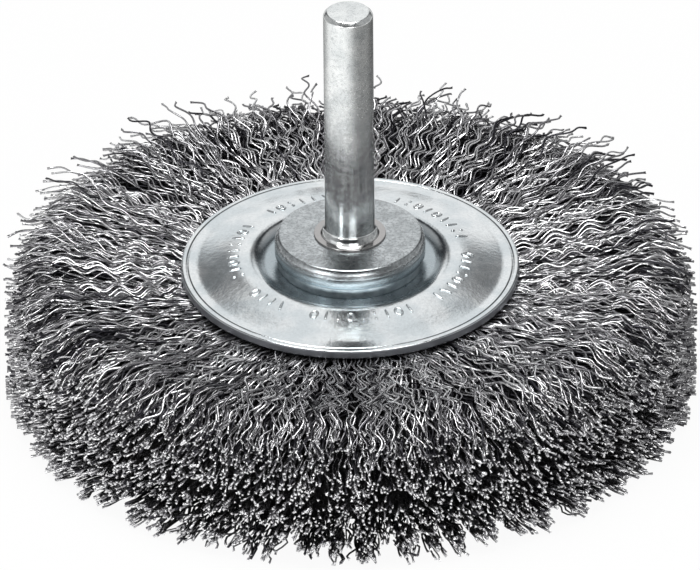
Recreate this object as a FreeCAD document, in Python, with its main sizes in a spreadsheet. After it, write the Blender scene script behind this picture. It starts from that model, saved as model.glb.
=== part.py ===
import FreeCAD, Part
import Sketcher
import os

# Wire wheel brush with a round clamping shank. It lies with its shank up, +Z along the shank.
# The origin is on the axis, in the plane of the lower side plate's crest, which it stands on.

document = FreeCAD.newDocument("wire_wheel_brush")
sheet = document.addObject("Spreadsheet::Sheet", "sizes")

SIZES = [
    # Spindle: turned bar, clamped by its shank, spread over at its lower end
    ("shank_dia", 6.0, "clamping diameter of the shank"),
    ("shank_length", 30.8, "shank above its collar"),
    ("shank_chamfer", 0.45, "broken edge of the shank's free end"),
    ("foot_dia", 6.7, "bead at the foot of the shank"),
    ("foot_height", 0.8, "height of that bead"),
    ("collar_dia", 8.7, "collar that bears on the washers"),
    ("collar_height", 0.2, "thickness of that collar"),
    ("rivet_dia", 9.2, "spread lower end of the spindle"),
    ("rivet_height", 0.75, "thickness of the spread end"),
    ("bore_clearance", 0.05, "gap round the spindle in each bore"),
    ("edge_break", 0.1, "small chamfer on turned edges"),
    # Washers between the collar and the upper side plate
    ("washer_dia", 18.2, "top washer"),
    ("washer_height", 2.55, "top washer"),
    ("bevel_width", 0.4, "rolled upper edge of the top washer, inwards"),
    ("bevel_drop", 1.2, "rolled upper edge of the top washer, downwards"),
    ("seat_step", 0.3, "the seat washer is smaller by this much all round"),
    ("seat_height", 1.35, "seat washer"),
    # Side plates: one pressing, used twice, measured outwards from the washers
    ("plate_sheet", 1.0, "thickness of the sheet"),
    ("recess_margin", 1.5, "free recess round the washers"),
    ("recess_rise", 0.3, "recess above the rim"),
    ("recess_slope", 1.1, "width of the slope from recess to crest"),
    ("crest_width", 1.6, "flat top of the crest"),
    ("crest_rise", 1.2, "crest above the rim"),
    ("cone_width", 5.2, "slope down to the rim"),
    ("rim_band", 1.95, "flat rim"),
    ("grip_width", 16.2, "between the outer faces of the two rims"),
    ("sleeve_wall", 3.0, "spacer sleeve between the plates"),
    # Wire trim, in locks of crimped wire folded round the core ring
    ("trim_dia", 82.0, "over the wire tips"),
    ("trim_width", 17.4, "across the wire where it has spread most"),
    ("lock_count", 48, "locks round the wheel"),
    ("lock_gap", 0.16, "gap between two locks"),
    ("wire_clearance", 0.1, "gap from the wire to the metal that holds it"),
    ("crimp_pitch", 3.6, "length of one wave"),
    ("crimp_height", 0.8, "sideways wave, crest to crest"),
    ("crimp_relief", 0.5, "wave across the wheel's faces, crest to crest"),
    ("root_length", 1.2, "wire outside the plates before its first wave"),
    ("fold_wall", 0.9, "wire inside the core ring"),
    ("ring_height", 4.0, "core ring, along the axis"),
    ("tip_step", 1.2, "ragged depth of the wire tips, from tip to tip"),
    ("tip_drop", 1.2, "fall of the wheel's faces at the tips"),
    ("tip_rows", 4, "rows of wire ends across the wire face"),
]
for row, (alias, value, note) in enumerate(SIZES, start=1):
    sheet.set(f"A{row}", note)
    sheet.set(f"B{row}", str(value))
    sheet.setAlias(f"B{row}", alias)
document.recompute()


# Drawing helpers
def number(expression):
    value = sheet.evalExpression(expression)
    return float(getattr(value, "Value", value))


def draw_outline(sketch, corners):
    """Close straight lines through corners, each an (across, up) pair of expressions."""
    first = sketch.GeometryCount
    points = [FreeCAD.Vector(number(across), number(up), 0) for across, up in corners]
    ends = points[1:] + points[:1]
    sketch.addGeometry([Part.LineSegment(a, b) for a, b in zip(points, ends)], False)
    joints = [
        Sketcher.Constraint("Coincident", first + i, 2, first + (i + 1) % len(points), 1)
        for i in range(len(points))
    ]
    sketch.addConstraint(joints)
    for i, (point, corner) in enumerate(zip(points, corners)):
        for kind, place, expression, axis in (
            ("DistanceX", point.x, corner[0], -2),
            ("DistanceY", point.y, corner[1], -1),
        ):
            if abs(place) < 1e-9:
                sketch.addConstraint(Sketcher.Constraint("PointOnObject", first + i, 1, axis))
            else:
                rule = Sketcher.Constraint(kind, -1, 1, first + i, 1, place)
                sketch.setExpression(f"Constraints[{sketch.addConstraint(rule)}]", expression)


def turned_body(name, corners):
    """Body of one profile turned round the axis, from (radius, height) pairs of expressions."""
    body = document.addObject("PartDesign::Body", name)
    body.Label = name
    sketch = body.newObject("Sketcher::SketchObject", name + "_profile")
    plane = [part for part in body.Origin.OriginFeatures if part.Role == "XZ_Plane"][0]
    sketch.AttachmentSupport = [(plane, "")]
    sketch.MapMode = "FlatFace"
    draw_outline(sketch, corners)
    turn = body.newObject("PartDesign::Revolution", name + "_turn")
    turn.Profile = sketch
    turn.ReferenceAxis = (sketch, ["V_Axis"])
    turn.Angle = 360
    document.recompute()
    return body


def circle_edges(body, radius, height):
    """Names of the body's circular edges of that radius at that height."""
    found = []
    for index, edge in enumerate(body.Shape.Edges, start=1):
        if isinstance(edge.Curve, Part.Circle):
            same_radius = abs(edge.Curve.Radius - radius) < 1e-6
            if same_radius and abs(edge.Curve.Center.z - height) < 1e-6:
                found.append(f"Edge{index}")
    return found


# Shared radii, each built outwards from the piece inside it
BORE = "(sizes.shank_dia / 2 + sizes.bore_clearance)"
WASHER = "(sizes.washer_dia / 2)"
RECESS = f"({WASHER} + sizes.recess_margin)"
CREST_IN = f"({RECESS} + sizes.recess_slope)"
CREST_OUT = f"({CREST_IN} + sizes.crest_width)"
CONE = f"({CREST_OUT} + sizes.cone_width)"
PLATE = f"({CONE} + sizes.rim_band)"

# Shared heights, from the plane that the brush stands on
MIDDLE = "(sizes.crest_rise + sizes.grip_width / 2)"
LOWER_SEAT = "(sizes.crest_rise - sizes.recess_rise)"
UPPER_SEAT = f"({MIDDLE} + sizes.grip_width / 2 + sizes.recess_rise)"
SEAT_TOP = f"({UPPER_SEAT} + sizes.seat_height)"
WASHER_TOP = f"({SEAT_TOP} + sizes.washer_height)"
COLLAR_TOP = f"({WASHER_TOP} + sizes.collar_height)"
SHANK_TOP = f"({COLLAR_TOP} + sizes.shank_length)"


# Spindle: shank, foot, collar, tail through the stack, and spread end in the lower recess
def make_spindle():
    rivet_foot = f"{LOWER_SEAT} - sizes.rivet_height"
    spindle = turned_body("spindle", [
        ("0", rivet_foot),
        ("sizes.rivet_dia / 2 - 2 * sizes.edge_break", rivet_foot),
        ("sizes.rivet_dia / 2", f"{rivet_foot} + 2 * sizes.edge_break"),
        ("sizes.rivet_dia / 2", LOWER_SEAT),
        ("sizes.shank_dia / 2", LOWER_SEAT),
        ("sizes.shank_dia / 2", WASHER_TOP),
        ("sizes.collar_dia / 2", WASHER_TOP),
        ("sizes.collar_dia / 2", f"{COLLAR_TOP} - sizes.edge_break"),
        ("sizes.collar_dia / 2 - sizes.edge_break", COLLAR_TOP),
        ("sizes.foot_dia / 2", COLLAR_TOP),
        ("sizes.foot_dia / 2", f"{COLLAR_TOP} + sizes.foot_height / 2"),
        ("sizes.shank_dia / 2", f"{COLLAR_TOP} + sizes.foot_height"),
        ("sizes.shank_dia / 2", SHANK_TOP),
        ("0", SHANK_TOP),
    ])
    edges = circle_edges(spindle, number("sizes.shank_dia / 2"), number(SHANK_TOP))
    turned_bar = spindle.Tip
    tip = spindle.newObject("PartDesign::Chamfer", "spindle_tip")
    tip.Base = (turned_bar, edges)
    tip.setExpression("Size", "sizes.shank_chamfer")
    spindle.Tip = tip
    return spindle


# Washers: a plain seat washer, and a thick one above it with a rolled upper edge
def make_washers():
    seat_edge = f"{WASHER} - sizes.seat_step"
    seat = turned_body("seat_washer", [
        (BORE, UPPER_SEAT),
        (seat_edge, UPPER_SEAT),
        (seat_edge, f"{SEAT_TOP} - sizes.edge_break"),
        (f"{seat_edge} - sizes.edge_break", SEAT_TOP),
        (BORE, SEAT_TOP),
    ])
    top = turned_body("top_washer", [
        (BORE, SEAT_TOP),
        (WASHER, SEAT_TOP),
        (WASHER, f"{WASHER_TOP} - sizes.bevel_drop"),
        (f"{WASHER} - sizes.bevel_width / 4", f"{WASHER_TOP} - sizes.bevel_drop / 3"),
        (f"{WASHER} - sizes.bevel_width", WASHER_TOP),
        (BORE, WASHER_TOP),
    ])
    return [seat, top]


# Side plates: recess for the washers, crest over the core ring, cone and flat rim
def make_side_plate(name, side):
    def height(rise):
        """Height of the sheet's outer face where it stands that far above its rim."""
        return f"{MIDDLE} + ({side}) * (sizes.grip_width / 2 + ({rise}))"

    outer_face = [
        (BORE, "sizes.recess_rise"),
        (RECESS, "sizes.recess_rise"),
        (CREST_IN, "sizes.crest_rise"),
        (CREST_OUT, "sizes.crest_rise"),
        (CONE, "0"),
    ]
    rim_edge = [
        (f"{PLATE} - sizes.edge_break", "0"),
        (PLATE, "-sizes.edge_break"),
        (PLATE, "-sizes.plate_sheet"),
    ]
    inner_face = [(radius, f"{rise} - sizes.plate_sheet") for radius, rise in outer_face]
    profile = outer_face + rim_edge + inner_face[::-1]
    return turned_body(name, [(radius, height(rise)) for radius, rise in profile])


# Spacer sleeve between the two recess floors, under the washers
def make_sleeve():
    reach = "(sizes.grip_width / 2 + sizes.recess_rise - sizes.plate_sheet)"
    return turned_body("spacer_sleeve", [
        (BORE, f"{MIDDLE} - {reach}"),
        (f"{BORE} + sizes.sleeve_wall", f"{MIDDLE} - {reach}"),
        (f"{BORE} + sizes.sleeve_wall", f"{MIDDLE} + {reach}"),
        (BORE, f"{MIDDLE} + {reach}"),
    ])


# Core ring: flat strip rolled to a ring, under the two crests, which the wire is folded round
def make_core_ring():
    return turned_body("core_ring", [
        (CREST_IN, f"{MIDDLE} - sizes.ring_height / 2"),
        (CREST_OUT, f"{MIDDLE} - sizes.ring_height / 2"),
        (CREST_OUT, f"{MIDDLE} + sizes.ring_height / 2"),
        (CREST_IN, f"{MIDDLE} + sizes.ring_height / 2"),
    ])


# Locks of crimped wire. One lock is its plan, seen along the axis, common with its side view.
# Two neighbours share one crimped line, so a lock has four forms, by the wave on either side.
SLOPE = "tan(180 deg / sizes.lock_count)"
TIPS = "(sizes.trim_dia / 2 * cos(180 deg / sizes.lock_count))"
FREE_START = f"({PLATE} + sizes.wire_clearance + sizes.root_length)"
HALF_WAVES = int(number(f"({TIPS} - sizes.tip_step - {FREE_START}) / (sizes.crimp_pitch / 2)"))
STATIONS = [f"{FREE_START} + {step} * sizes.crimp_pitch / 2" for step in range(HALF_WAVES)]


def free_sketch(name, corners, turned_up):
    """Sketch in the lock's plan, or turned up into its side view."""
    sketch = document.addObject("Sketcher::SketchObject", name)
    if turned_up:
        sketch.Placement.Rotation = FreeCAD.Rotation(FreeCAD.Vector(1, 0, 0), 90)
    for outline in corners:
        draw_outline(sketch, outline)
    return sketch


def slab(name, sketch, direction, width):
    """The sketch drawn out to both sides along a direction."""
    block = document.addObject("Part::Extrusion", name)
    block.Base = sketch
    block.DirMode = "Custom"
    block.Dir = direction
    block.Symmetric = True
    block.Solid = True
    block.setExpression("LengthFwd", width)
    return block


def lock_flank(side, wave):
    """One long edge of the plan, from the fold to the tips, with its crimps."""
    def across(reach, shift="0"):
        return f"({side}) * (({reach}) * {SLOPE} - sizes.lock_gap / 2) + {shift}"

    fold = f"({CREST_IN} - sizes.wire_clearance - 2 * sizes.fold_wall)"
    flank = [(fold, across(fold)), (PLATE, across(PLATE))]
    for step, reach in enumerate(STATIONS):
        sway = wave if step % 2 == 0 else -wave
        flank.append((reach, across(reach, f"({sway}) * sizes.crimp_height / 2")))
    flank.append((f"{TIPS} - sizes.tip_step", across(f"{TIPS} - sizes.tip_step")))
    return flank


def spread_height(reach, start):
    """Half width of the trim at that reach: start at the plates' edge, levelling out at the tips."""
    left = f"(({TIPS} - ({reach})) / ({TIPS} - {PLATE}))"
    return f"(sizes.trim_width / 2 - (sizes.trim_width / 2 - ({start})) * {left} ^ 2)"


def lock_form(name, left_wave, right_wave):
    left = lock_flank(1, left_wave)
    right = lock_flank(-1, right_wave)
    tip_corner = f"({TIPS} * {SLOPE} - sizes.lock_gap / 2)"
    tips = [
        (TIPS, f"-{tip_corner} / 2"),
        (f"{TIPS} - sizes.tip_step", "0"),
        (TIPS, f"{tip_corner} / 2"),
    ]
    plan = free_sketch(name + "_plan", [right + tips + left[::-1]], turned_up=False)

    inside = "sizes.grip_width / 2 - sizes.plate_sheet - sizes.wire_clearance"
    outline = [
        (f"{CREST_IN} - sizes.wire_clearance - sizes.fold_wall",
         "sizes.ring_height / 2 + sizes.fold_wall"),
        (CREST_IN, f"{inside} + sizes.crest_rise"),
        (CREST_OUT, f"{inside} + sizes.crest_rise"),
        (CONE, inside),
        (f"{PLATE} + sizes.wire_clearance", inside),
    ]
    for step, reach in enumerate(STATIONS):
        fall = "0" if (step % 2 == 0) == (left_wave > 0) else "sizes.crimp_relief"
        outline.append((reach, f"{spread_height(reach, inside)} - {fall}"))
    upper = [(reach, f"{MIDDLE} + ({rise})") for reach, rise in outline]
    lower = [(reach, f"{MIDDLE} - ({rise})") for reach, rise in outline]
    edge = "(sizes.trim_width / 2 - sizes.tip_drop)"
    rows = int(number("sizes.tip_rows")) + (left_wave != right_wave)
    ends = [(f"{TIPS} - sizes.tip_step", f"{MIDDLE} - {edge}")]
    for row in range(rows):
        ends.append(("sizes.trim_dia / 2", f"{MIDDLE} + {edge} * ({2 * row + 1} / {rows} - 1)"))
        ends.append((f"{TIPS} - sizes.tip_step", f"{MIDDLE} + {edge} * ({2 * row + 2} / {rows} - 1)"))
    eye_in = f"{CREST_IN} - sizes.wire_clearance"
    eye_out = f"{CREST_OUT} + sizes.wire_clearance"
    eye_rise = "(sizes.ring_height / 2 + sizes.wire_clearance)"
    eye = [
        (eye_in, f"{MIDDLE} - {eye_rise}"),
        (eye_out, f"{MIDDLE} - {eye_rise}"),
        (eye_out, f"{MIDDLE} + {eye_rise}"),
        (eye_in, f"{MIDDLE} + {eye_rise}"),
    ]
    side = free_sketch(name + "_side", [lower + ends + upper[::-1], eye], turned_up=True)

    form = document.addObject("Part::Common", name)
    form.Base = slab(name + "_plan_slab", plan, FreeCAD.Vector(0, 0, 1), "4 * sizes.trim_width")
    form.Tool = slab(name + "_side_slab", side, FreeCAD.Vector(0, 1, 0), f"4 * {TIPS} * {SLOPE}")
    return form


def make_locks():
    count = int(number("sizes.lock_count"))
    forms = {
        (left, right): lock_form(f"lock_form_{index}", left, right)
        for index, (left, right) in enumerate([(1, 1), (1, -1), (-1, 1), (-1, -1)], start=1)
    }
    # The wave on the line after each lock: an uneven run of two kinds that never settles
    waves = [1 if (place * place + place // 3) % 7 < 4 else -1 for place in range(count)]
    locks = []
    for place in range(count):
        lock = document.addObject("Part::Compound", f"wire_lock_{place + 1:02d}")
        lock.Label = lock.Name
        lock.Links = [forms[waves[place], waves[place - 1]]]
        lock.Placement.Rotation = FreeCAD.Rotation(FreeCAD.Vector(0, 0, 1), 1)
        lock.setExpression("Placement.Rotation.Angle", f"360 deg * {place} / sizes.lock_count")
        locks.append(lock)
    return locks


pieces = [
    make_side_plate("lower_side_plate", -1),
    make_sleeve(),
    make_core_ring(),
    *make_locks(),
    make_side_plate("upper_side_plate", 1),
    *make_washers(),
    make_spindle(),
]
document.recompute()

for item in document.Objects:
    if "Invalid" in item.State or "Error" in item.State:
        raise RuntimeError(f"{item.Label} failed: {item.State}")
for piece in pieces:
    if piece.Shape.isNull() or not piece.Shape.isValid():
        raise RuntimeError(f"{piece.Label} has no valid shape")

os.makedirs("parts", exist_ok=True)
for piece in pieces:
    piece.Shape.exportStep(f"parts/{piece.Label}.step")
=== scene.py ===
import bpy
import math
import numpy as np
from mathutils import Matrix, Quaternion, Vector


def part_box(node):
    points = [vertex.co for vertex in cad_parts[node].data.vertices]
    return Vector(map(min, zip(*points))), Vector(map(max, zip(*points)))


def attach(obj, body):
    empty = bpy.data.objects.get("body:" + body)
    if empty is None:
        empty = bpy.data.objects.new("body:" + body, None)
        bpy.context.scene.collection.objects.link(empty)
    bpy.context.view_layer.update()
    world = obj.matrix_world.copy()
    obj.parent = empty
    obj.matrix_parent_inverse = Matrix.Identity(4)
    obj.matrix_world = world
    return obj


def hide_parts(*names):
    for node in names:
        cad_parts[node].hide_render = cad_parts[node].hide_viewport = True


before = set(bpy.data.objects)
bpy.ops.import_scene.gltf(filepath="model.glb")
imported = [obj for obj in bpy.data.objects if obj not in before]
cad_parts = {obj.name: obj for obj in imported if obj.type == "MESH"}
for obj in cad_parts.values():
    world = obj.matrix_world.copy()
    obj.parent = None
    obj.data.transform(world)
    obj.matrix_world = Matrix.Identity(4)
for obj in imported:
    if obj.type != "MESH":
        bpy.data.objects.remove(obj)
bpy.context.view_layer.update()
MM = 0.001


# Side plates. One pressing of bright zinc-plated steel sheet, used twice: a recess for the washers,
# a crest over the core ring, a cone and a flat rim with a blanked edge. They clamp the wire
# between them and are held by the riveted spindle.
class Value:
    """A shader socket that can stand in a sum."""

    def __init__(self, tree, socket):
        self.tree = tree
        self.socket = socket

    def node(self, kind, settings=None, inputs=None, output=0):
        made = self.tree.nodes.new(kind)
        settings = dict(settings or {})
        stops = settings.pop("stops", [])
        for name, setting in settings.items():
            setattr(made, name, setting)
        for index, (place, colour) in enumerate(stops):
            ramp = made.color_ramp.elements
            stop = ramp[index] if index < len(ramp) else ramp.new(place)
            stop.position = place
            stop.color = (*colour, 1)
        for name, value in (inputs or {}).items():
            if isinstance(value, Value):
                self.tree.links.new(value.socket, made.inputs[name])
            else:
                made.inputs[name].default_value = value
        return Value(self.tree, made.outputs[output]) if len(made.outputs) else made

    def _math(self, operation, first, second):
        return self.node("ShaderNodeMath", {"operation": operation}, {0: first, 1: second})

    def __add__(self, other):
        return self._math("ADD", self, other)

    def __radd__(self, other):
        return self._math("ADD", other, self)

    def __sub__(self, other):
        return self._math("SUBTRACT", self, other)

    def __rsub__(self, other):
        return self._math("SUBTRACT", other, self)

    def __mul__(self, other):
        return self._math("MULTIPLY", self, other)

    def __rmul__(self, other):
        return self._math("MULTIPLY", other, self)

    def __truediv__(self, other):
        return self._math("DIVIDE", self, other)

    def between(self, low, high):
        """0 below low, 1 above high, smooth from one to the other."""
        settings = {"interpolation_type": "SMOOTHSTEP"}
        return self.node("ShaderNodeMapRange", settings, {0: self, 1: low, 2: high})

    def blend(self, first, second):
        """The first colour where this is 0, the second where it is 1."""
        return self.node("ShaderNodeMix", {"data_type": "RGBA"}, {0: self, 6: first, 7: second}, 2)

    def noise(self, per_mm, detail=3.0, rough=0.5, stretch=(1, 1, 1)):
        """Cloudy pattern with about that many spots to the millimetre of the object."""
        place = self.node("ShaderNodeVectorMath", {"operation": "MULTIPLY"}, {0: self, 1: stretch})
        sizes = {"Vector": place, "Scale": per_mm / MM, "Detail": detail, "Roughness": rough}
        return self.node("ShaderNodeTexNoise", None, sizes)


def metal(name, colour, roughness, bump=None, depth=0.01):
    """Metal finish. colour and roughness are functions of the object's own coordinates."""
    material = bpy.data.materials.new(name)
    material.use_nodes = True
    tree = material.node_tree
    tree.nodes.clear()
    place = Value(tree, tree.nodes.new("ShaderNodeTexCoord").outputs["Object"])
    inputs = {"Metallic": 1.0, "Base Color": colour(place), "Roughness": roughness(place)}
    if bump:
        relief = {"Height": bump(place), "Strength": 1.0, "Distance": depth * MM}
        inputs["Normal"] = place.node("ShaderNodeBump", None, relief)
    shader = place.node("ShaderNodeBsdfPrincipled", None, inputs)
    place.node("ShaderNodeOutputMaterial", None, {"Surface": shader})
    return material


def rounded(corners, steps=5):
    """Profile points through (radius, height, rounding) corners, each rounding as a short curve."""
    points = []
    count = len(corners)
    for index, (radius, height, rounding) in enumerate(corners):
        corner = np.array((radius, height))
        before = np.array(corners[index - 1][:2]) - corner
        after = np.array(corners[(index + 1) % count][:2]) - corner
        if rounding == 0:
            points.append(corner)
            continue
        reach_in = min(rounding, np.linalg.norm(before) * 0.49)
        reach_out = min(rounding, np.linalg.norm(after) * 0.49)
        start = corner + before / np.linalg.norm(before) * reach_in
        end = corner + after / np.linalg.norm(after) * reach_out
        for t in np.linspace(0, 1, steps):
            points.append((1 - t) ** 2 * start + 2 * t * (1 - t) * corner + t * t * end)
    return points


def turned(name, corners, steps_round, material):
    """Closed mesh of a profile in millimetres turned round the axis."""
    profile = rounded(corners)
    count = len(profile)
    vertices = []
    rings = []
    for radius, height in profile:
        if radius < 1e-6:
            rings.append([len(vertices)] * steps_round)
            vertices.append((0, 0, height * MM))
            continue
        rings.append(list(range(len(vertices), len(vertices) + steps_round)))
        for step in range(steps_round):
            angle = 2 * math.pi * step / steps_round
            across, along = radius * math.cos(angle), radius * math.sin(angle)
            vertices.append((across * MM, along * MM, height * MM))
    faces = []
    for index in range(count):
        low, high = rings[index], rings[(index + 1) % count]
        for step in range(steps_round):
            onward = (step + 1) % steps_round
            loop = [low[step], low[onward], high[onward], high[step]]
            corners_used = list(dict.fromkeys(loop))
            if len(corners_used) > 2:
                faces.append(corners_used)
    mesh = bpy.data.meshes.new(name)
    mesh.from_pydata(vertices, [], faces)
    mesh.update()
    for polygon in mesh.polygons:
        polygon.use_smooth = True
    mesh.set_sharp_from_angle(angle=math.radians(40))
    mesh.materials.append(material)
    piece = bpy.data.objects.new(name, mesh)
    bpy.context.scene.collection.objects.link(piece)
    return piece


plate_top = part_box("upper_side_plate")[1]
CREST_RISE = 1.2
PLATE_RADIUS = plate_top.x / MM
RIM_HEIGHT = plate_top.z / MM - CREST_RISE
MIDDLE = (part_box("lower_side_plate")[0].z + plate_top.z) / 2 / MM
SHEET = 1.0
BORE = 3.05
RECESS_RADIUS, RECESS_RISE = 10.6, 0.3
CREST_INNER, CREST_OUTER = 11.7, 13.3
ROLL_RADIUS, ROLL_RISE = 15.6, 0.75
CONE_RADIUS = 18.5
BEAD_INSET, BEAD_WIDTH, BEAD_DEPTH = 0.75, 0.17, 0.08


def from_axis(place):
    """Distance from the wheel's axis in millimetres."""
    flat = place.node("ShaderNodeVectorMath", {"operation": "MULTIPLY"}, {0: place, 1: (1, 1, 0)})
    return place.node("ShaderNodeVectorMath", {"operation": "LENGTH"}, {0: flat}, 1) / MM


def outside_recess(place):
    return from_axis(place).between(RECESS_RADIUS + 0.1, CREST_INNER - 0.2)


def cut_edge(place):
    return from_axis(place).between(PLATE_RADIUS - 0.07, PLATE_RADIUS - 0.02)


def zinc_colour(place):
    cloud = place.noise(0.22, 3).between(0.35, 0.65)
    grain = place.noise(3.0, 4, 0.7).between(0.3, 0.75)
    base = cloud.blend((0.70, 0.75, 0.77, 1), (0.86, 0.885, 0.89, 1))
    toned = (grain * 0.3).blend(base, (0.50, 0.54, 0.57, 1))
    # The recess inside the crest is painted darker than the sheet: painted shade where the washers
    # stand over it.
    sheet = outside_recess(place).blend((0.45, 0.51, 0.54, 1), toned)
    return cut_edge(place).blend(sheet, (0.24, 0.25, 0.27, 1))


def zinc_roughness(place):
    polish = 0.12 + place.noise(0.5, 4, 0.6).between(0.3, 0.7) * 0.07
    return polish + (1 - outside_recess(place)) * 0.12 + cut_edge(place) * 0.35


zinc = metal("bright_zinc_sheet", zinc_colour, zinc_roughness, lambda p: p.noise(1.6, 4, 0.6), 0.02)


def side_plate(name, side):
    bead = PLATE_RADIUS - BEAD_INSET
    outer = [
        (BORE, RECESS_RISE, 0),
        (RECESS_RADIUS, RECESS_RISE, 0.5),
        (CREST_INNER, CREST_RISE - 0.05, 0.6),
        (CREST_OUTER, CREST_RISE, 1.0),
        (ROLL_RADIUS, ROLL_RISE, 1.4),
        (CONE_RADIUS, 0, 0.5),
        (bead - BEAD_WIDTH, 0, 0.05),
        (bead, -BEAD_DEPTH, 0.06),
        (bead + BEAD_WIDTH, 0, 0.05),
        (PLATE_RADIUS, 0, 0.28),
    ]
    inner = [
        (PLATE_RADIUS, -SHEET, 0.12),
        (CONE_RADIUS, -SHEET, 0.5),
        (ROLL_RADIUS, ROLL_RISE - SHEET, 1.4),
        (CREST_OUTER, CREST_RISE - SHEET, 1.0),
        (CREST_INNER, CREST_RISE - SHEET, 0.6),
        (RECESS_RADIUS, RECESS_RISE - SHEET, 0.5),
        (BORE, RECESS_RISE - SHEET, 0),
    ]
    half = RIM_HEIGHT - MIDDLE
    corners = [
        (radius, MIDDLE + side * (half + rise), rounding)
        for radius, rise, rounding in outer + inner
    ]
    if side > 0:
        corners.reverse()
    plate = turned(name + "_pressing", corners, 224, zinc)
    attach(plate, "root")
    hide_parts(name)


side_plate("lower_side_plate", -1)


# Spacer sleeve and core ring. Plain steel, hidden between the plates: the sleeve keeps the two
# recess floors apart, and the wire is folded round the ring under the crests.
dull_steel = metal(
    "dull_steel",
    lambda p: p.noise(0.8).between(0.3, 0.7).blend((0.30, 0.30, 0.31, 1), (0.42, 0.42, 0.43, 1)),
    lambda p: 0.45 + p.noise(2.0) * 0.2,
)
for name in ("spacer_sleeve", "core_ring"):
    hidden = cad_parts[name]
    hidden.data.materials.clear()
    hidden.data.materials.append(dull_steel)


# Wire trim. Hard-drawn steel wire, crimped in waves, cut to length and folded round the core ring,
# so that both ends fan out between the plates. Neighbours lie nested in small strands, cross each
# other, and end in cut tips, which are painted bright as highlights. One piece for every four locks
# of the frame.
rng = np.random.default_rng(41)

WIRE = 0.135  # radius of one wire
lock_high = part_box("wire_lock_01")[1]
TRIM_RADIUS = lock_high.x / MM
TRIM_HALF = lock_high.z / MM - MIDDLE
WIRE_CLEARANCE = 0.1
GRIP_HALF = RIM_HEIGHT - MIDDLE - SHEET - WIRE_CLEARANCE - WIRE
ROOT_RADIUS = PLATE_RADIUS - 1.0
CRIMP_PITCH = 3.9
CRIMP_HEIGHT = 0.48
KINK_HEIGHT, KINK_PITCH = 0.22, 0.81  # second, smaller wave, as shares of the crimp's
TOP_DROP, FLOOR_DROP = 2.8, 0.3  # fall of the tips at the upper and the lower face
FREE_LENGTH = 20  # wire outside the plates
LOCKS = 48
SECTORS = 12
FLOOR_GAP = 0.2
TIP_BURR = 1.4  # width of the burr at a cut tip, in wires
LONGEST_TIP = 1.0


def wire_metal(name, shade, metallic, roughness):
    made = metal(name, lambda p: (*shade, 1), lambda p: roughness)
    made.node_tree.nodes["Principled BSDF"].inputs["Metallic"].default_value = metallic
    return made


# One wire painted at four light levels: shaded, half lit, lit and highlighted. The level a wire
# gets stands in for the light that reaches it.
WIRE_LIGHT_LEVELS = [
    wire_metal("wire_painted_shade", (0.045, 0.044, 0.052), 0.85, 0.28),
    wire_metal("wire_painted_half_light", (0.32, 0.315, 0.33), 0.90, 0.24),
    wire_metal("wire_painted_light", (0.62, 0.615, 0.63), 0.95, 0.22),
    wire_metal("wire_painted_highlight", (0.92, 0.92, 0.93), 0.97, 0.20),
]
# Cut tips: bare steel cut ends, painted near white and nearly non-metallic as highlights.
CUT_END = wire_metal("wire_cut_end", (0.93, 0.93, 0.94), 0.15, 0.4)

# Share of each painted light level among the wires of a layer: upper face, below it, deep, round
# face, lower edge, and single wires that have sprung out. The deeper layers are mostly painted dark
# as shade, the upper face mostly lit and highlighted, and the lower edge is painted lighter.
TOP_LIGHT_SHARE = [0.0, 0.14, 0.34, 0.52]
MIDDLE_SHADE_SHARE = [0.70, 0.24, 0.06, 0.0]
DEEP_SHADE_SHARE = [1.0, 0.0, 0.0, 0.0]
RIM_LIGHT_SHARE = [0.10, 0.38, 0.36, 0.16]
LOW_LIGHT_SHARE = [0.0, 0.15, 0.45, 0.40]
SPRUNG_LIGHT_SHARE = [0.15, 0.35, 0.25, 0.25]


def smooth_rise(value, low, high):
    t = np.clip((value - low) / (high - low), 0, 1)
    return t * t * (3 - 2 * t)


def column(values):
    return np.asarray(values, float).reshape(-1, 1)


def spread(reach, drop):
    """Half width of the trim at that reach: it opens from the plates and rounds off at the tips."""
    left = np.clip((TRIM_RADIUS - reach) / (TRIM_RADIUS - PLATE_RADIUS), 0, 1)
    rounding = drop * smooth_rise(reach, TRIM_RADIUS - 6, TRIM_RADIUS + 1)
    return TRIM_HALF - (TRIM_HALF - GRIP_HALF) * left ** 2 - rounding


def wire_lines(
    points, angle, level, start, end, phase, pitch, crimp, turn, lean, bend, rise, stray,
):
    """Centrelines of crimped wires in millimetres. angle and level (-1 to 1 across the wheel) place
    a wire, turn is the plane of its waves, lean and bend carry it along the rim, rise lifts its tip
    and stray is how far it wanders."""
    reach = column(start) + (column(end) - column(start)) * np.linspace(0, 1, points)[None, :]
    out = reach - PLATE_RADIUS
    swing = 2 * np.pi * out / CRIMP_PITCH * column(pitch) + column(phase)
    freed = 0.2 + 0.8 * smooth_rise(out, -0.5, 2.2)
    wave = column(crimp) * np.sin(swing) * freed
    kink = KINK_HEIGHT * column(crimp) * np.sin(KINK_PITCH * swing + 4 * column(turn)) * freed
    wander = stray * np.sin(out / 2.1 + 3 * column(phase) + 2 * column(turn)) * freed
    flat, steep = np.cos(column(turn)), np.sin(column(turn))
    sideways = wave * flat - kink * steep + wander + column(lean) * out
    sideways = sideways + column(bend) * out ** 2 / FREE_LENGTH
    upward = wave * steep + kink * flat + column(rise) * smooth_rise(out, 3, 20.5) ** 2
    reach = np.minimum(reach, np.sqrt((TRIM_RADIUS + 1.1) ** 2 - sideways ** 2))
    half = spread(reach, np.where(column(level) > 0, TOP_DROP, FLOOR_DROP))
    height = np.maximum(MIDDLE + column(level) * half + upward, FLOOR_GAP + WIRE * TIP_BURR)
    across, along = np.cos(column(angle)), np.sin(column(angle))
    place_x = across * reach - along * sideways
    place_y = along * reach + across * sideways
    return np.stack([place_x, place_y, height], 2)


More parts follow.
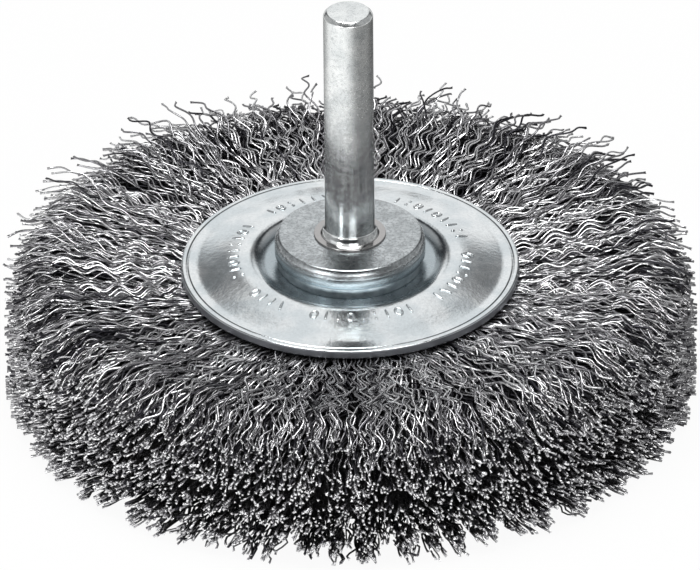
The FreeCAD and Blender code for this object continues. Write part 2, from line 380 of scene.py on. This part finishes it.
def tubes(lines, radius, roll):
    """Corners of three-sided closed tubes round the centrelines, with a burr at the cut tip."""
    tangent = np.gradient(lines, axis=1)
    tangent /= np.linalg.norm(tangent, axis=2, keepdims=True)
    side = np.cross(tangent, (0, 0, 1.0))
    side /= np.linalg.norm(side, axis=2, keepdims=True)
    up = np.cross(side, tangent)
    girth = np.ones(lines.shape[1])
    girth[-1] = TIP_BURR
    rings = []
    for corner in range(3):
        turn = roll + 2 * np.pi * corner / 3
        arm = np.cos(turn)[:, None, None] * side + np.sin(turn)[:, None, None] * up
        rings.append(lines + arm * radius[:, None, None] * girth[None, :, None])
    return np.stack(rings, 2)


class Bundle:
    """Wires gathered for one piece, to be written as one mesh."""

    def __init__(self):
        self.corners, self.quads, self.caps = [], [], []
        self.quad_shades, self.cap_light_levels = [], []
        self.total = 0

    def add(self, rings, shades, tips):
        wires, count = rings.shape[:2]
        index = self.total + np.arange(wires * count * 3).reshape(wires, count, 3)
        onward = np.roll(index, -1, axis=2)
        quads = np.stack([index[:, :-1], onward[:, :-1], onward[:, 1:], index[:, 1:]], -1)
        self.quads.append(quads.reshape(-1, 4))
        self.quad_shades.append(np.repeat(shades, (count - 1) * 3))
        self.caps.append(index[:, 0, ::-1])
        self.caps.append(index[:, -1, :])
        self.cap_light_levels.append(shades)
        self.cap_light_levels.append(tips)
        self.corners.append(rings.reshape(-1, 3))
        self.total += rings.size // 3

    def piece(self, name):
        quads, caps = np.concatenate(self.quads), np.concatenate(self.caps)
        corners = np.concatenate(self.corners) * MM
        mesh = bpy.data.meshes.new(name)
        mesh.vertices.add(len(corners))
        mesh.vertices.foreach_set("co", corners.ravel())
        loops = np.concatenate([quads.ravel(), caps.ravel()])
        sizes = np.concatenate([np.full(len(quads), 4), np.full(len(caps), 3)])
        starts = np.concatenate([[0], np.cumsum(sizes)[:-1]])
        mesh.loops.add(len(loops))
        mesh.loops.foreach_set("vertex_index", loops.astype(np.int32))
        mesh.polygons.add(len(sizes))
        mesh.polygons.foreach_set("loop_start", starts.astype(np.int32))
        mesh.polygons.foreach_set("loop_total", sizes.astype(np.int32))
        for material in [*WIRE_LIGHT_LEVELS, CUT_END]:
            mesh.materials.append(material)
        # Each face takes its wire's painted light level, and each tip cap the painted highlight or
        # that level.
        toned = np.concatenate([*self.quad_shades, *self.cap_light_levels])
        mesh.polygons.foreach_set("material_index", toned.astype(np.int32))
        smooth = np.concatenate([np.ones(len(quads), bool), np.zeros(len(caps), bool)])
        mesh.polygons.foreach_set("use_smooth", smooth)
        mesh.update(calc_edges=True)
        mesh.validate()
        made = bpy.data.objects.new(name, mesh)
        bpy.context.scene.collection.objects.link(made)
        return made


bundles = [Bundle() for _ in range(SECTORS)]


def lay_wires(angle, lines, light_shares, glint_share=1.0):
    """Sort wires into the pieces by their place round the wheel."""
    # Each wire takes one painted light level, drawn from the shares given for its layer.
    shades = rng.choice(len(WIRE_LIGHT_LEVELS), len(angle), p=light_shares)
    # The given share of tips get the near-white cut end as a painted highlight; the rest keep their
    # wire's level.
    tips = np.where(rng.random(len(angle)) < glint_share, len(WIRE_LIGHT_LEVELS), shades)
    radius = WIRE * rng.uniform(0.92, 1.08, len(angle))
    rings = tubes(lines, radius, rng.uniform(0, 2 * np.pi, len(angle)))
    turns = np.mod(angle / (2 * np.pi) + 0.5 / LOCKS, 1)
    sector = (turns * SECTORS).astype(int) % SECTORS
    for number, bundle in enumerate(bundles):
        chosen = sector == number
        if chosen.any():
            bundle.add(rings[chosen], shades[chosen], tips[chosen])


def strands_of(amount, size):
    """Strand number of each wire, its place across the strand and an even spot for each strand."""
    strands = -(-amount // size)
    wire = np.arange(amount)
    spots = rng.permutation((np.arange(strands) + rng.random(strands)) * 2 * np.pi / strands)
    return wire // size, wire % size - (size - 1) / 2, spots


def scatter(spread_by, count, strand, each):
    """One random value for each strand, plus a smaller one for each of its wires."""
    return rng.normal(0, spread_by, count)[strand] + rng.normal(0, 1, len(strand)) * each


# Tufts: near the tips the wires lean together in uneven groups
TUFTS = 66
tuft_angle = (np.arange(TUFTS) + rng.uniform(-0.3, 0.3, TUFTS)) * 2 * np.pi / TUFTS
tuft_length = rng.normal(0, 0.45, TUFTS)
tuft_phase = rng.uniform(0, 2 * np.pi, TUFTS)


def nearest_tuft(angle):
    off = np.angle(np.exp(1j * (tuft_angle[None, :] - angle[:, None])))
    number = np.abs(off).argmin(1)
    return number, off[np.arange(len(angle)), number]


# Long wires that show on the wheel's two flat faces, from the plates to the tips. Each call lays
# one layer, with its depth below the face in millimetres.
WIRE_STEP = 0.022  # angle between neighbours in a strand


def face_wires(amount, side, size, shallow, deep, points, gather, ends, lift, light_shares):
    strand, place, spots = strands_of(amount, size)
    count = len(spots)
    angle = spots[strand] + place * WIRE_STEP + rng.normal(0, 0.003, amount)
    depth = rng.uniform(shallow, deep, count)[strand] + rng.normal(0, 0.08, amount)
    number, off = nearest_tuft(angle)
    pull = gather * off * TRIM_RADIUS
    centred = 1 - 2 * np.abs(off) * TUFTS / np.pi
    longest, uneven = ends
    end = TRIM_RADIUS + longest - rng.gamma(1.4, uneven, amount)
    end = end + gather * (tuft_length[number] + 1.8 * centred)
    free = 1 - gather
    phase = rng.uniform(0, 2 * np.pi, count)[strand] if side > 0 else tuft_phase[number]
    lines = wire_lines(
        points, angle, side * (1 - depth / TRIM_HALF), np.full(amount, ROOT_RADIUS),
        np.minimum(end, TRIM_RADIUS + LONGEST_TIP),
        phase=phase + rng.normal(0, 0.25, amount),
        pitch=1 + scatter(0.07, count, strand, 0.008),
        crimp=CRIMP_HEIGHT * (1 + scatter(0.15, count, strand, 0.08)),
        turn=scatter(0.5, count, strand, 0.15),
        lean=free * scatter(0.04, count, strand, 0.006),
        bend=free * scatter(0.04, count, strand, 0.012) + pull / FREE_LENGTH,
        rise=side * (lift + scatter(0.8, count, strand, 0.4)),
        stray=0.28 * free,
    )
    lay_wires(angle, lines, light_shares, 1.0 if side > 0 else 0.25)


# Short wires that show on the wheel's round face, where the bundles part in small groups
def rim_wires(columns, rows, size, points):
    cells = columns * rows
    column_of, row_of = np.divmod(np.arange(cells), rows)
    spot = (column_of + rng.uniform(-0.5, 0.5, cells)) * 2 * np.pi / columns
    row = row_of + rng.uniform(0, 1, columns)[column_of] + rng.uniform(-0.3, 0.3, cells)
    level = np.mod(row / rows, 1) * 2 - 1
    amount = cells * size
    group = np.repeat(np.arange(cells), size)
    loose = rng.normal(0, 1, (amount, 2))
    angle = spot[group] + loose[:, 0] * 0.021
    wire_level = np.clip(level[group] + loose[:, 1] * 0.09, -1, 1)
    number, off = nearest_tuft(angle)
    low = smooth_rise(-wire_level, 0.58, 1)
    centred = 1 - 2 * np.abs(off) * TUFTS / np.pi
    shorter = 2.0 * smooth_rise(wire_level, 0.5, 1) - low * (0.6 + 1.1 * centred)
    pull = low * off * TRIM_RADIUS * 0.55 / FREE_LENGTH
    own_phase = rng.uniform(0, 2 * np.pi, cells)[group]
    end = TRIM_RADIUS + 0.2 - shorter + scatter(0.45, cells, group, 0.35)
    end = np.minimum(end, TRIM_RADIUS + LONGEST_TIP)
    lines = wire_lines(
        points, angle, wire_level, TRIM_RADIUS - 4.6 + rng.uniform(-0.4, 0.4, amount), end,
        phase=np.where(low > 0.4, tuft_phase[number], own_phase) + rng.normal(0, 0.45, amount),
        pitch=1 + scatter(0.06, cells, group, 0.03),
        crimp=CRIMP_HEIGHT * rng.uniform(0.5, 1.0, amount) * (1 - 0.75 * low),
        turn=rng.normal(0, 0.9, amount) * (1 - 0.5 * low),
        lean=scatter(0.008, cells, group, 0.006),
        bend=pull + (1 - 0.6 * low) * scatter(0.015, cells, group, 0.012),
        rise=scatter(0.5, cells, group, 0.25),
        stray=0.0,
    )
    # The lower-edge wires are painted lighter than the round face above them.
    for chosen, light_shares, glint_share in ((low < 0.3, RIM_LIGHT_SHARE, 0.85), (low >= 0.3, LOW_LIGHT_SHARE, 0.4)):
        lay_wires(angle[chosen], lines[chosen], light_shares, glint_share)


# Single wires that have sprung out of their strand: they cross the others or stand off the trim
def sprung_wires(amount, side, rise_most, reach_most, points):
    angle = rng.uniform(0, 2 * np.pi, amount)
    lines = wire_lines(
        points, angle, side * rng.uniform(0.85, 1.02, amount), np.full(amount, ROOT_RADIUS),
        TRIM_RADIUS - 3 + rng.beta(2.2, 1.3, amount) * (reach_most + 3),
        phase=rng.uniform(0, 2 * np.pi, amount),
        pitch=rng.normal(0.9, 0.08, amount),
        crimp=CRIMP_HEIGHT * rng.uniform(0.6, 1.1, amount),
        turn=rng.uniform(-0.9, 0.9, amount),
        lean=rng.normal(0, 0.09, amount),
        bend=rng.normal(0, 0.10, amount),
        rise=side * rng.uniform(0, 1, amount) * rise_most,
        stray=0.5,
    )
    lay_wires(angle, lines, SPRUNG_LIGHT_SHARE)


# Deeper layers take darker painted light levels: painted shade under the wires above them.
face_wires(430, 1, 4, 0.0, 0.7, 60, 0.05, (1.2, 1.5), 0.6, TOP_LIGHT_SHARE)
face_wires(520, 1, 4, 0.8, 1.7, 46, 0.05, (0.4, 1.1), 0.2, MIDDLE_SHADE_SHARE)
face_wires(600, 1, 3, 1.7, 2.7, 20, 0.05, (-0.3, 1.0), 0.0, DEEP_SHADE_SHARE)
face_wires(420, -1, 3, 0.0, 1.2, 26, 0.55, (0.8, 0.6), 0.3, LOW_LIGHT_SHARE)
face_wires(420, -1, 3, 1.0, 2.6, 14, 0.55, (0.6, 0.6), 0.2, MIDDLE_SHADE_SHARE)
rim_wires(150, 12, 5, 6)
sprung_wires(340, 1, 4.8, 0.9, 52)
sprung_wires(30, -1, 0.3, 1.0, 26)

LOCKS_EACH = LOCKS // SECTORS
for number, bundle in enumerate(bundles):
    trim = bundle.piece(f"wire_trim_{number + 1:02d}")
    first_lock = number * LOCKS_EACH + 1
    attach(trim, "root")
    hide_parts(*[f"wire_lock_{first_lock + lock:02d}" for lock in range(LOCKS_EACH)])


# Packed wire inside the trim. The inner wires lie too close to part: their mass fills the trim
# behind the ones that show. It is a near-black body, painted as the shade deep among the wires.
NEARLY_BLACK, DARK = (0.01, 0.01, 0.01, 1), (0.04, 0.04, 0.04, 1)
trim_shade_fill = metal(
    "trim_shade_fill",
    lambda p: p.noise(1.4, 4, 0.7).between(0.35, 0.7).blend(NEARLY_BLACK, DARK),
    lambda p: 0.6 + p.noise(1.2) * 0.3,
    lambda p: p.noise(2.2, 5, 0.7), 0.3,
)
CORE_DEPTH, CORE_FALL = 2.4, 3.4  # below the wheel's flat faces and its round face
core_reaches = [ROOT_RADIUS + 0.3, 24.0, 28.0, 33.0, TRIM_RADIUS - CORE_FALL - 1.5]
core_profile = [(reach, float(spread(reach, TOP_DROP)) - CORE_DEPTH) for reach in core_reaches]
tip_half = float(spread(TRIM_RADIUS, TOP_DROP))
core_profile.append((TRIM_RADIUS - CORE_FALL, tip_half - CORE_DEPTH - 1.0))
core = turned("trim_shade_core", [
    *[(reach, MIDDLE - half, 0.5) for reach, half in core_profile],
    *[(reach, MIDDLE + half, 0.5) for reach, half in core_profile[::-1]],
], 180, trim_shade_fill)
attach(core, "root")


# Upper side plate. The same pressing, laid over the wire and held down by the washers. The outer
# slope of its crest has raised marks: plain groups of rounded bars, rings and dots.
side_plate("upper_side_plate", 1)


def straight(x0, y0, x1, y1):
    return [(x0 + (x1 - x0) * t, y0 + (y1 - y0) * t) for t in np.linspace(0, 1, 7)], False


def taper(index, count):
    """Width of a bar at that point: it narrows over its first two and last two points."""
    return (0.55, 0.92, 1.0)[min(index, count - 1 - index, 2)]


def crest_slope(reach):
    """Height of the crest's outer slope above the rim, at that distance from the axis."""
    down = (reach - CREST_OUTER) / (ROLL_RADIUS - CREST_OUTER)
    return CREST_RISE - down * (CREST_RISE - ROLL_RISE)


ring_turns = np.linspace(0, 2 * np.pi, 16, endpoint=False)
MARKS = {
    "|": [straight(0, -0.75, 0, 0.75)],
    "/": [straight(-0.25, -0.75, 0.25, 0.75)],
    ":": [straight(0, -0.75, 0, -0.3), straight(0, 0.3, 0, 0.75)],
    "o": [([(0.40 * math.cos(t), 0.62 * math.sin(t)) for t in ring_turns], True)],
    " ": [],
}


def pressed_marks(name, rows, middle, width, height):
    """Half-round ridges along the lines of each mark, laid on the slope of the crest."""
    corners, faces = [], []
    section = [(-0.5, -0.7), (-0.34, 0.45), (-0.13, 0.95), (0.13, 0.95), (0.34, 0.45), (0.5, -0.7)]
    for number, mark in enumerate(rows):
        angle = -2 * math.pi * number / len(rows)
        for line, closed in MARKS[mark]:
            first, count, wide = len(corners), len(line), len(section)
            for index, (x, y) in enumerate(line):
                before = line[index - 1] if closed or index else line[0]
                after = line[(index + 1) % count] if closed or index + 1 < count else line[-1]
                along = Vector((after[0] - before[0], after[1] - before[1])).normalized()
                end = 1.0 if closed else taper(index, count)
                for aside, up in section:
                    across = x - along.y * aside * width * end
                    reach = middle + y + along.x * aside * width * end
                    place_x = reach * math.cos(angle) - across * math.sin(angle)
                    place_y = reach * math.sin(angle) + across * math.cos(angle)
                    lift = up * height * (end if up > 0 else 1)
                    place_z = RIM_HEIGHT + crest_slope(reach) + lift
                    corners.append((place_x * MM, place_y * MM, place_z * MM))
            for index in range(count if closed else count - 1):
                here, there = first + index * wide, first + (index + 1) % count * wide
                for step in range(wide):
                    onward = (step + 1) % wide
                    faces.append([here + step, there + step, there + onward, here + onward])
            if not closed:
                faces.append([first + step for step in range(wide)])
                faces.append([first + (count - 1) * wide + step for step in reversed(range(wide))])
    mesh = bpy.data.meshes.new(name)
    mesh.from_pydata(corners, [], faces)
    mesh.update()
    for polygon in mesh.polygons:
        polygon.use_smooth = True
    mesh.materials.append(zinc)
    marks = bpy.data.objects.new(name, mesh)
    bpy.context.scene.collection.objects.link(marks)
    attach(marks, "root")


MARK_ROWS = "o||:o|/|  |o|:|o||o  /||o  :|o||:|o|  |o:||/|o|  |:o|o/|:|  "
MARK_RADIUS, MARK_WIDTH, MARK_HEIGHT = 14.2, 0.42, 0.13
pressed_marks("upper_plate_marks", MARK_ROWS, MARK_RADIUS, MARK_WIDTH, MARK_HEIGHT)


# Washers. Two turned washers under the spindle's collar: a plain one in the recess, and a thick
# one above it whose upper edge is rolled over and polished. Zinc plated, scratched in handling.
washer_low, washer_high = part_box("top_washer")
WASHER_RADIUS = washer_high.x / MM
WASHER_FOOT, WASHER_TOP = washer_low.z / MM, washer_high.z / MM


def height_of(place):
    """Height above the brush's foot in millimetres."""
    return place.node("ShaderNodeSeparateXYZ", None, {0: place}, 2) / MM


def washer_colour(place):
    cloud = place.noise(0.6, 4, 0.65).between(0.35, 0.65)
    fleck = place.noise(2.6, 4, 0.75).between(0.47, 0.57)
    base = cloud.blend((0.44, 0.47, 0.48, 1), (0.62, 0.655, 0.67, 1))
    toned = (fleck * 0.55).blend(base, (0.27, 0.28, 0.29, 1))
    # Below the groove the washer's wall is painted dark blue-grey: painted shade on its lower side
    # wall.
    above_groove = height_of(place).between(WASHER_TOP - 1.4, WASHER_TOP - 1.2)
    return above_groove.blend((0.25, 0.29, 0.31, 1), toned)


def washer_relief(place):
    scratches = place.noise(1.3, 5, 0.75, (1, 5, 1)) + place.noise(1.3, 5, 0.75, (5, 1, 1))
    return scratches * 0.5


washer_zinc = metal(
    "washer_zinc", washer_colour, lambda p: 0.17 + p.noise(1.5, 4, 0.7).between(0.3, 0.7) * 0.1,
    washer_relief, 0.025,
)
seat_low, seat_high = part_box("seat_washer")
top_washer = turned("top_washer_turned", [
    (BORE, WASHER_TOP, 0),
    (BORE, WASHER_FOOT, 0),
    (WASHER_RADIUS, WASHER_FOOT, 0.15),
    (WASHER_RADIUS, WASHER_TOP - 1.36, 0.08),
    (WASHER_RADIUS - 0.1, WASHER_TOP - 1.28, 0.04),
    (WASHER_RADIUS, WASHER_TOP - 1.2, 0.08),
    (WASHER_RADIUS - 0.04, WASHER_TOP - 0.6, 0.5),
    (WASHER_RADIUS - 0.42, WASHER_TOP, 0.22),
], 160, washer_zinc)
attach(top_washer, "root")
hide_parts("top_washer")

# The seat washer is painted darker than the top washer: painted shade on its low wall in the
# recess.
SEAT_SHADED_DARK, SEAT_SHADED_PALE = (0.28, 0.32, 0.34, 1), (0.42, 0.46, 0.48, 1)
seat_zinc = metal(
    "seat_washer_zinc",
    lambda p: p.noise(0.8, 4).between(0.35, 0.65).blend(SEAT_SHADED_DARK, SEAT_SHADED_PALE),
    lambda p: 0.28 + p.noise(1.5, 4, 0.7).between(0.3, 0.7) * 0.12,
)
seat_washer = turned("seat_washer_turned", [
    (BORE, seat_high.z / MM, 0),
    (BORE, seat_low.z / MM, 0),
    (seat_high.x / MM, seat_low.z / MM, 0.12),
    (seat_high.x / MM, seat_high.z / MM, 0.2),
], 160, seat_zinc)
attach(seat_washer, "root")
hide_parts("seat_washer")


# Spindle. One bar of free-cutting steel, turned and zinc plated: the round shank that the chuck
# clamps, a bead and collar at its foot, and the tail that is spread over the lower plate.
CLAMPED_FROM, CLAMPED_ALL = 34, 43  # heights


def clamped(place):
    """1 on the upper shank, which the chuck has rubbed matt, 0 near the foot, where the colour is
    painted darker.
    """
    return height_of(place).between(CLAMPED_FROM, CLAMPED_ALL)


def spindle_colour(place):
    cloud = place.noise(0.35, 4, 0.6).between(0.35, 0.65)
    speck = place.noise(2.8, 3, 0.75).between(0.5, 0.64)
    blotch = place.noise(1.1, 5, 0.75).between(0.52, 0.66)
    base = cloud.blend((0.76, 0.79, 0.79, 1), (0.94, 0.96, 0.95, 1))
    # Specks and blotches are wear; the lower shank is also painted darker, a painted reflection of
    # the dark wire trim below it.
    wear_and_shade = speck * 0.36 + blotch * 0.28 + (1 - clamped(place)) * 0.2
    toned = wear_and_shade.blend(base, (0.34, 0.36, 0.37, 1))
    return from_axis(place).between(3.35, 3.6).blend(toned, (0.46, 0.45, 0.445, 1))


def spindle_roughness(place):
    return 0.10 + clamped(place) * 0.1 + place.noise(2.0, 4, 0.7).between(0.3, 0.7) * 0.12


spindle_zinc = metal(
    "spindle_zinc", spindle_colour, spindle_roughness, lambda p: p.noise(2.2, 4, 0.65), 0.010,
)
spindle_low, spindle_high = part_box("spindle")
SHANK_TOP = spindle_high.z / MM
SHANK_RADIUS, COLLAR_RADIUS = 3.0, 4.35
RIVET_FOOT, RIVET_RADIUS = spindle_low.z / MM, spindle_high.x / MM
COLLAR_TOP = WASHER_TOP + 0.2
SEAT = MIDDLE - (RIM_HEIGHT - MIDDLE) - RECESS_RISE
spindle = turned("spindle_turned", [
    (0, SHANK_TOP, 0),
    (0, RIVET_FOOT, 0),
    (RIVET_RADIUS, RIVET_FOOT, 0.3),
    (RIVET_RADIUS, SEAT, 0.05),
    (SHANK_RADIUS, SEAT, 0),
    (SHANK_RADIUS, WASHER_TOP, 0),
    (COLLAR_RADIUS, WASHER_TOP, 0.03),
    (COLLAR_RADIUS, COLLAR_TOP, 0.05),
    (3.5, COLLAR_TOP, 0.08),
    (3.36, COLLAR_TOP + 0.4, 0.2),
    (SHANK_RADIUS, COLLAR_TOP + 0.8, 0.3),
    (SHANK_RADIUS, SHANK_TOP - 0.45, 0.15),
    (SHANK_RADIUS - 0.43, SHANK_TOP, 0.12),
], 112, spindle_zinc)
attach(spindle, "root")
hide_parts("spindle")


# Studio. A pale floor, white surroundings and soft lamps. The floor and the surroundings look white
# to the camera, and the floor keeps a soft shadow. What the metal mirrors is shaped below.
WHITE = (1, 1, 1, 1)


def seen_or_mirrored(tree):
    """1 for what the camera sees itself or in a mirror, and 1 for what it sees itself. Both are 0
    for light that falls on the object."""
    rays = tree.nodes.new("ShaderNodeLightPath").outputs
    seen = Value(tree, rays["Is Camera Ray"])
    mirrored = Value(tree, rays["Is Glossy Ray"]) + Value(tree, rays["Is Transmission Ray"])
    return seen + mirrored, seen


bpy.ops.mesh.primitive_plane_add(size=3.0, location=(0, 0, 0))
floor = bpy.context.object
floor.name = "floor"
floor_finish = bpy.data.materials.new("pale_floor")
floor_finish.use_nodes = True
tree = floor_finish.node_tree
tree.nodes.clear()
shown, seen = seen_or_mirrored(tree)
matt = seen.node("ShaderNodeBsdfDiffuse", None, {"Color": (0.9, 0.9, 0.9, 1)})
bright = seen.node("ShaderNodeEmission", None, {"Color": WHITE, "Strength": 1.0})
FLOOR_SHADOW = 0.06
lit = shown * (1 - FLOOR_SHADOW)
surface = seen.node("ShaderNodeMixShader", None, {0: lit, 1: matt, 2: bright})
seen.node("ShaderNodeOutputMaterial", None, {"Surface": surface})
floor.data.materials.append(floor_finish)

world = bpy.data.worlds.new("studio")
bpy.context.scene.world = world
world.use_nodes = True
tree = world.node_tree
tree.nodes.clear()
shown, seen = seen_or_mirrored(tree)
toward = Value(tree, tree.nodes.new("ShaderNodeTexCoord").outputs["Generated"])
side, behind, height = [
    toward.node("ShaderNodeSeparateXYZ", None, {0: toward}, axis) for axis in range(3)
]
aside = side.node("ShaderNodeMath", {"operation": "ABSOLUTE"}, {0: side})
before = -1 * behind
slant = aside / (behind + 0.001)
# White backdrop behind the brush, which ends below the ceiling and at both sides
backdrop = behind.between(0.15, 0.45) * (1 - height.between(0.86, 0.97))
backdrop = backdrop * (1 - slant.between(0.31, 0.54))
# Dark gap at either side of it, which the plate's cone mirrors
gap = slant.between(0.12, 0.26) * (1 - slant.between(0.45, 0.8))
gap = gap * height.between(0.33, 0.44) * (1 - height.between(0.60, 0.72))
# Low pale screen in front, on the left
screen = (0.04 - side).between(0, 0.1) * before.between(0.05, 0.25)
screen = screen * (1 - height.between(0.25, 0.45))
# Walls, dimmer than the backdrop and dimmest in front
walls = (aside - behind).between(-0.22, 0.05) * aside.between(0.35, 0.6)
walls = walls * (1 - height.between(0.75, 0.92))
walls = walls * (0.40 - before.between(0.1, 0.6) * 0.2)
pale = backdrop * (1 - gap * 0.8) + screen * 0.8 + walls
mirrored = pale.blend((0.03, 0.032, 0.036, 1), (0.95, 0.955, 0.96, 1))
ambient = shown.blend((0.3, 0.3, 0.3, 1), mirrored)
tint = seen.blend(ambient, WHITE)
sky = seen.node("ShaderNodeBackground", None, {"Color": tint, "Strength": 1.0})
seen.node("ShaderNodeOutputWorld", None, {"Surface": sky})


# A graded card lies round the brush and shows only in the metal: pale on the left, dark on the
# right and behind, so that the round shank shows a bright side and dark edges
def card_shade(place):
    across, back = [
        place.node("ShaderNodeSeparateXYZ", None, {0: place}, axis) for axis in range(2)
    ]
    shade = 1 - across.between(-0.035, 0.075) * 0.78
    shade = shade * (1 - back.between(-0.01, 0.09) * 0.7)
    return shade.blend((0, 0, 0, 1), (0.98, 0.98, 0.98, 1))


card_finish = metal("graded_card", card_shade, lambda p: 0.9)
card_finish.node_tree.nodes["Principled BSDF"].inputs["Metallic"].default_value = 0
bpy.ops.mesh.primitive_plane_add(size=0.4, location=(0, 0, 0.0004))
card = bpy.context.object
card.name = "graded_card"
card.data.materials.append(card_finish)
card.visible_camera = card.visible_shadow = card.visible_diffuse = False


def soft_lamp(name, place, aim, size, power):
    lamp = bpy.data.lights.new(name, "AREA")
    lamp.shape = "RECTANGLE"
    lamp.size, lamp.size_y = size
    lamp.energy = power
    made = bpy.data.objects.new(name, lamp)
    made.location = place
    made.rotation_euler = (Vector(aim) - Vector(place)).to_track_quat("-Z", "Y").to_euler()
    bpy.context.scene.collection.objects.link(made)


soft_lamp("top_lamp", (-0.01, -0.02, 0.60), (0, 0, 0.01), (0.50, 0.30), 3.0)
soft_lamp("strip_lamp", (-0.50, -0.60, 0.16), (0, 0, 0.02), (0.16, 0.34), 1.1)
soft_lamp("front_lamp", (0.20, -0.85, 0.22), (0, 0, 0.01), (0.45, 0.30), 1.6)

# Camera. A long lens from the front, as high and as near as in the photograph: the centre of the
# plate's rim falls on the same pixel.
CAMERA_DISTANCE = 2.0
ELEVATION = math.radians(31.3)
ROLL = math.radians(-0.5)
PIXELS_PER_MM = 8.278
IMAGE_WIDTH, IMAGE_HEIGHT = 700, 570
RIM_CENTRE_PIXEL = (350.2, 263.2)
camera = bpy.data.objects.new("camera", bpy.data.cameras.new("camera"))
bpy.context.scene.collection.objects.link(camera)
camera.data.sensor_width = 36
camera.data.lens = PIXELS_PER_MM / MM * CAMERA_DISTANCE / IMAGE_WIDTH * camera.data.sensor_width
camera.data.clip_start, camera.data.clip_end = 0.1, 10
back = Vector((0, -math.cos(ELEVATION), math.sin(ELEVATION)))
off_right = (IMAGE_WIDTH / 2 - RIM_CENTRE_PIXEL[0]) / PIXELS_PER_MM * MM
off_up = (RIM_CENTRE_PIXEL[1] - IMAGE_HEIGHT / 2) / PIXELS_PER_MM * MM
stance = (-back).to_track_quat("-Z", "Y") @ Quaternion((0, 0, 1), ROLL)
camera.rotation_mode = "QUATERNION"
camera.rotation_quaternion = stance
rim_centre = Vector((0, 0, RIM_HEIGHT * MM))
camera.location = rim_centre + stance @ Vector((off_right, off_up, CAMERA_DISTANCE))
bpy.context.scene.camera = camera
bpy.context.scene.view_settings.view_transform = "Standard"
